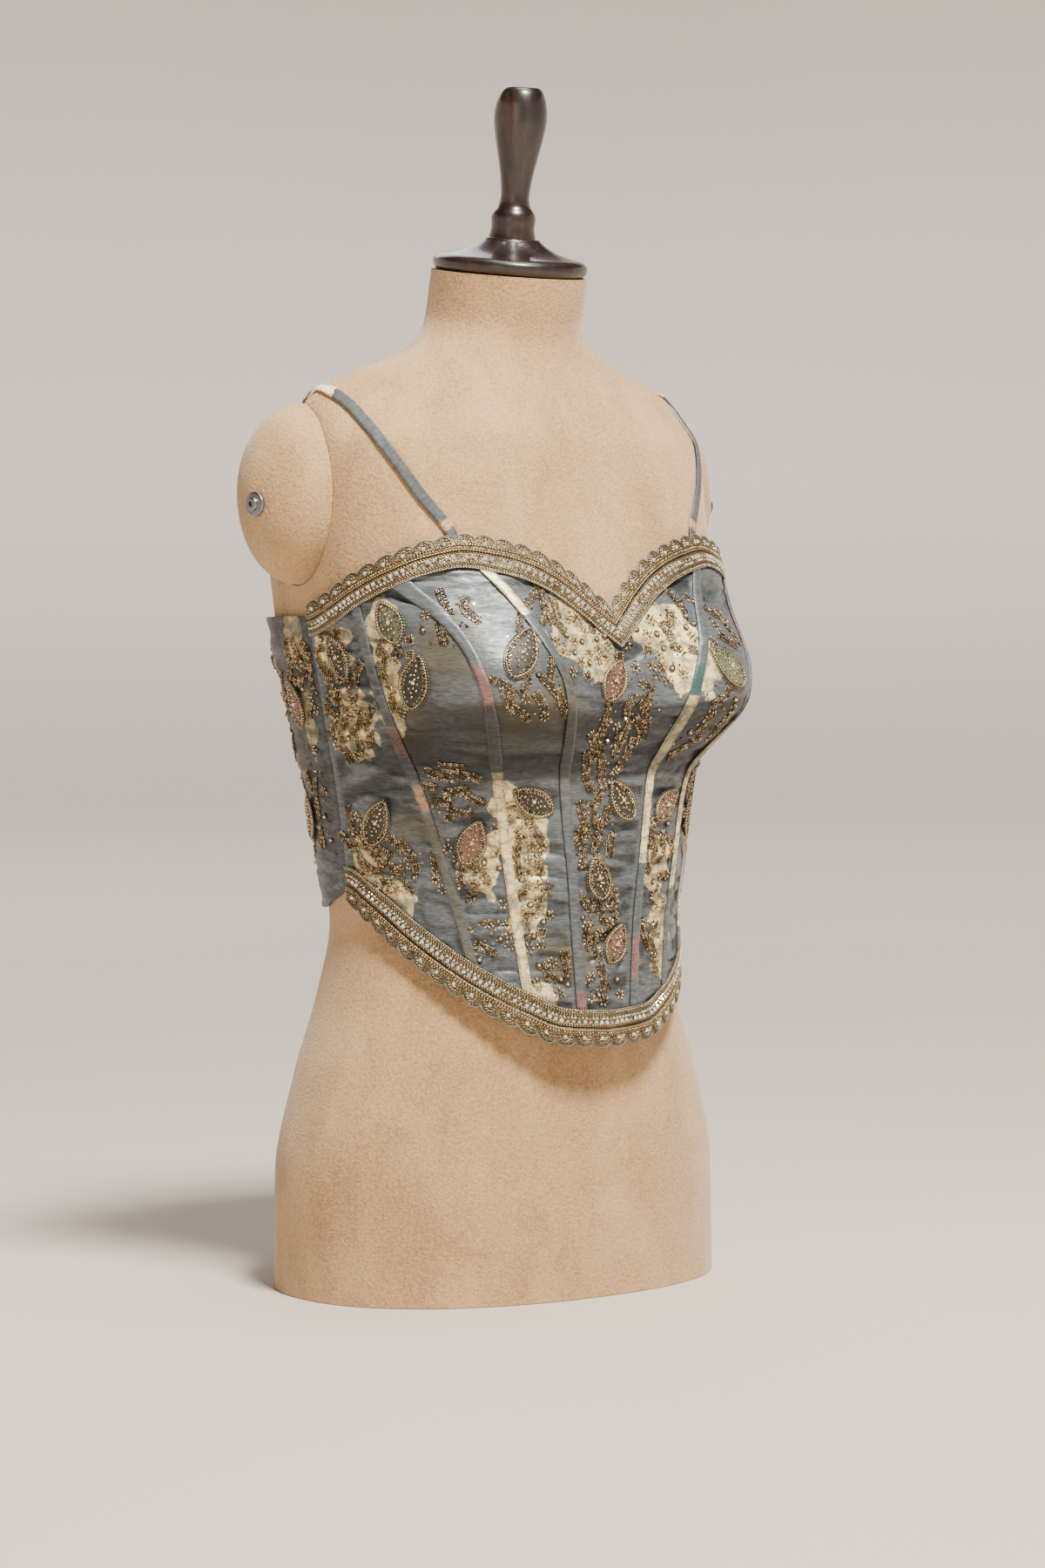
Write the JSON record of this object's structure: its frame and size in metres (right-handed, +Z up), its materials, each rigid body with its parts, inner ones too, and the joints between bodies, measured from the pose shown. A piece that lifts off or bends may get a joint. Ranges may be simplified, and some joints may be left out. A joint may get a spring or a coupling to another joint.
{
  "type": "corset blouse on a dress form",
  "caption": "Strappy sweetheart corset blouse in slate silk with gold scalloped borders and embroidery, on a limbless beige dress form with a dark wood finial.",
  "frame": {"origin": "centre of the dress form's flat underside, on the surface it stands on", "axes": "+Z up to the finial, -Y out of the wearer's front, -X towards the wearer's right"},
  "size_m": [0.407, 0.2936, 0.8403],
  "materials": {
    "silk": "crushed shot silk, slate grey with a gold shimmer and cream printed patches",
    "channel": "the same silk cut in narrow strips, twin stitched",
    "border": "antique gold metallic thread, cords and set stones",
    "leaf": "applique leaves in green, pink and gold with looped edges",
    "velour": "beige velour with a short nap",
    "wood": "turned hardwood, dark stain, gloss lacquer",
    "metal": "satin plated steel"
  },
  "bodies": {
    "root": {"back_left": "silk", "back_placket": "channel", "back_right": "silk", "channel_cup_left": "channel", "channel_cup_right": "channel", "channel_inner_left": "channel", "channel_inner_right": "channel", "channel_outer_left": "channel", "channel_outer_right": "channel", "cup_inner_left": "silk", "cup_inner_right": "silk", "cup_outer_left": "silk", "cup_outer_right": "silk", "finial": "wood", "form_cap_left": "velour", "form_cap_right": "velour", "form_torso": "velour", "front_centre": "silk", "hem_braid": "border", "hem_lace": "border", "leaf_01": "leaf", "leaf_02": "leaf", "leaf_03": "leaf", "leaf_04": "leaf", "leaf_05": "leaf", "leaf_06": "leaf", "leaf_07": "leaf", "leaf_08": "leaf", "leaf_09": "leaf", "leaf_10": "leaf", "leaf_11": "leaf", "leaf_12": "leaf", "leaf_13": "leaf", "leaf_14": "leaf", "leaf_15": "leaf", "leaf_16": "leaf", "leaf_17": "leaf", "leaf_18": "leaf", "leaf_19": "leaf", "leaf_20": "leaf", "leaf_21": "leaf", "neck_braid": "border", "neck_lace": "border", "neck_plate": "wood", "side_left": "silk", "side_right": "silk", "strap_left": "channel", "strap_right": "channel", "stud_left": "metal", "stud_right": "metal"}
  },
  "joints": []
}
